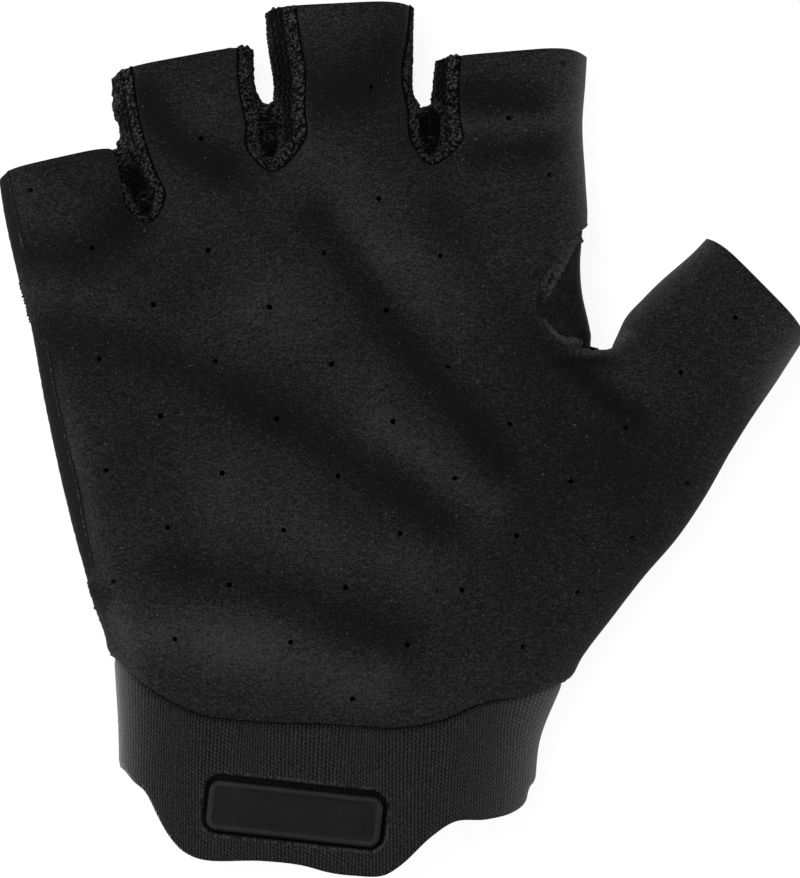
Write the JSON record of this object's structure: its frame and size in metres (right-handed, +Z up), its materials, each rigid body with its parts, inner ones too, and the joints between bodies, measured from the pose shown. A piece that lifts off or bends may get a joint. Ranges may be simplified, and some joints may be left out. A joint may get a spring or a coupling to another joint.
{
  "type": "cycling glove",
  "caption": "Fingerless cycling glove with perforated suede palm, terry gussets between the fingers and a stretch cuff with a pull tab.",
  "frame": {"origin": "middle of the glove's box, on the surface that the back of the glove lies on", "axes": "+Y from the cuff to the fingers, +X from the little finger to the thumb, +Z up out of the palm"},
  "size_m": [0.157, 0.1702, 0.024],
  "materials": {
    "suede": "brushed synthetic suede, matte",
    "back_knit": "fine stretch knit",
    "terry": "looped terry knit",
    "web_knit": "smooth stretch fabric",
    "cuff_knit": "ribbed stretch knit",
    "rubber": "satin"
  },
  "bodies": {
    "root": {"palm_panel": "suede", "back_panel": "back_knit", "thumb_back": "terry", "thumb_web": "web_knit", "gusset_little_ring": "terry", "gusset_ring_middle": "terry", "gusset_middle_index": "terry", "cuff": "cuff_knit", "cuff_badge": "rubber"}
  },
  "joints": []
}
